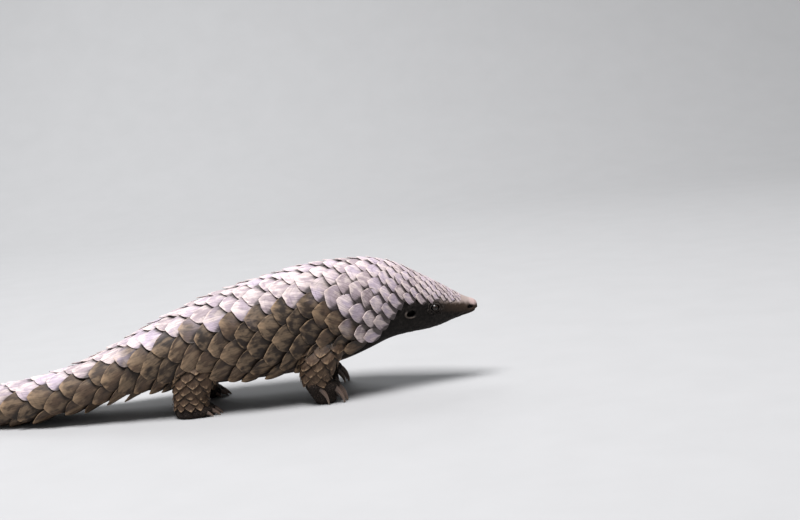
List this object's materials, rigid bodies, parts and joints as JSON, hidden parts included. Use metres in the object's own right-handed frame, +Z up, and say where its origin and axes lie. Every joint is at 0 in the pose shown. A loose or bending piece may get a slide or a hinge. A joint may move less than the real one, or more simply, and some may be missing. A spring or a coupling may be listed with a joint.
{
  "type": "young ground pangolin",
  "caption": "Still life-size model of a young ground pangolin on four feet, with overlapping scales, a bare pointed snout, curved claws and its tail on the floor.",
  "frame": {"origin": "middle of the bounding box, on the floor that the feet and tail rest on", "axes": "+X towards the nose, +Y to the animal's left, +Z up"},
  "size_m": [0.5101, 0.1635, 0.1129],
  "materials": {
    "scale_horn": "dry horn with a slight sheen",
    "face_skin": "bare wrinkled skin",
    "claw_horn": "worn horn",
    "eye_dark": "wet dark bead"
  },
  "bodies": {
    "root": {"head": "scale_horn", "neck": "scale_horn", "torso_front": "scale_horn", "torso_rear": "scale_horn", "tail_base": "scale_horn", "tail_middle": "scale_horn", "tail_end": "scale_horn", "foreleg_right": "scale_horn", "forefoot_right": "scale_horn", "forefoot_right_claw_1": "claw_horn", "forefoot_right_claw_2": "claw_horn", "forefoot_right_claw_3": "claw_horn", "forefoot_right_claw_4": "claw_horn", "forefoot_right_claw_5": "claw_horn", "foreleg_left": "scale_horn", "forefoot_left": "scale_horn", "forefoot_left_claw_1": "claw_horn", "forefoot_left_claw_2": "claw_horn", "forefoot_left_claw_3": "claw_horn", "forefoot_left_claw_4": "claw_horn", "forefoot_left_claw_5": "claw_horn", "hindleg_right": "scale_horn", "hindfoot_right": "scale_horn", "hindfoot_right_claw_1": "claw_horn", "hindfoot_right_claw_2": "claw_horn", "hindfoot_right_claw_3": "claw_horn", "hindfoot_right_claw_4": "claw_horn", "hindfoot_right_claw_5": "claw_horn", "hindleg_left": "scale_horn", "hindfoot_left": "scale_horn", "hindfoot_left_claw_1": "claw_horn", "hindfoot_left_claw_2": "claw_horn", "hindfoot_left_claw_3": "claw_horn", "hindfoot_left_claw_4": "claw_horn", "hindfoot_left_claw_5": "claw_horn", "eye_right": "eye_dark", "ear_right": "face_skin", "eye_left": "eye_dark", "ear_left": "face_skin"}
  },
  "joints": []
}
